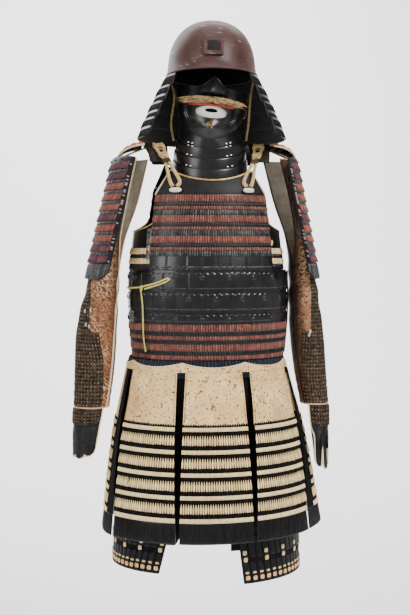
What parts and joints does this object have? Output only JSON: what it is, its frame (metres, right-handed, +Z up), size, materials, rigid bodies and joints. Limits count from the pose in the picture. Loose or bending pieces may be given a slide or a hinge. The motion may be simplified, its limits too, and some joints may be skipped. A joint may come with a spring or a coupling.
{
  "type": "lamellar armour",
  "caption": "Full lamellar armour in worn form: helmet with neck guard, face mask, laced cuirass, shoulder guards, mail sleeves, laced skirt panels and thigh guards.",
  "frame": {"origin": "between the two shoulder straps, where the wearer's shoulders carry the armour", "axes": "+Z up the wearer's body, -Y the way the front faces, +X to the wearer's left"},
  "size_m": [0.5942, 0.3996, 1.2691],
  "materials": {
    "russet_lacquer": "russet lacquer, satin, worn and scratched",
    "black_lacquer": "black lacquer, glossy",
    "red_lacing": "reddish brown braided lacing over black lacquered scales",
    "cream_lacing": "cream lacing over black lacquered scales, with a leather top and a ribbed black foot",
    "cream_leather": "cream printed leather, speckled and worn",
    "tan_cord": "tan braided cord",
    "yellow_cord": "yellow green braided cord",
    "ivory": "pale ivory lacquer",
    "blue_lacing": "dark blue lacing",
    "sleeve_cloth": "gold scroll brocade on the inner half and dark mail on the outer half",
    "red_cloth": "red quilted cloth with a tan edge",
    "horse_hair": "tan bristle"
  },
  "bodies": {
    "root": {"back_plates": "black_lacquer", "back_scales": "red_lacing", "back_top_plate": "black_lacquer", "belly_plate_1": "black_lacquer", "belly_plate_2": "black_lacquer", "belly_plate_3": "black_lacquer", "breast_lower_plate": "black_lacquer", "breast_scales": "red_lacing", "chest_plate": "black_lacquer", "chin_cord_left": "tan_cord", "chin_cord_right": "tan_cord", "guard_cord_left": "tan_cord", "guard_cord_right": "tan_cord", "hand_guard_left": "black_lacquer", "hand_guard_right": "black_lacquer", "helmet_bowl": "russet_lacquer", "helmet_crest_socket": "russet_lacquer", "mask_face": "black_lacquer", "mask_moustache": "horse_hair", "mask_teeth": "ivory", "neck_guard_lame_1": "black_lacquer", "neck_guard_lame_2": "black_lacquer", "neck_guard_lame_3": "black_lacquer", "neck_guard_lame_4": "black_lacquer", "neckline_piping": "tan_cord", "shoulder_guard_left": "red_lacing", "shoulder_guard_right": "red_lacing", "shoulder_strap_left": "black_lacquer", "shoulder_strap_right": "black_lacquer", "shoulder_wing_left": "red_cloth", "shoulder_wing_right": "red_cloth", "side_hinge": "black_lacquer", "side_tie_bow": "yellow_cord", "side_tie_tail": "yellow_cord", "skirt_panel_back_left": "cream_lacing", "skirt_panel_back_right": "cream_lacing", "skirt_panel_front": "cream_lacing", "skirt_panel_front_left": "cream_lacing", "skirt_panel_front_right": "cream_lacing", "skirt_panel_side_left": "cream_lacing", "skirt_panel_side_right": "cream_lacing", "sleeve_left": "sleeve_cloth", "sleeve_right": "sleeve_cloth", "strap_cord_left": "tan_cord", "strap_cord_right": "tan_cord", "strap_toggle_left": "ivory", "strap_toggle_right": "ivory", "thigh_guard_left": "black_lacquer", "thigh_guard_right": "black_lacquer", "throat_lame_1": "black_lacquer", "throat_lame_2": "black_lacquer", "throat_lame_3": "black_lacquer", "throat_lame_4": "black_lacquer", "underarm_plate_left": "black_lacquer", "underarm_plate_right": "black_lacquer", "waist_lacing": "blue_lacing", "waist_leather": "cream_leather", "waist_scales_back": "red_lacing", "waist_scales_front": "red_lacing"}
  },
  "joints": []
}
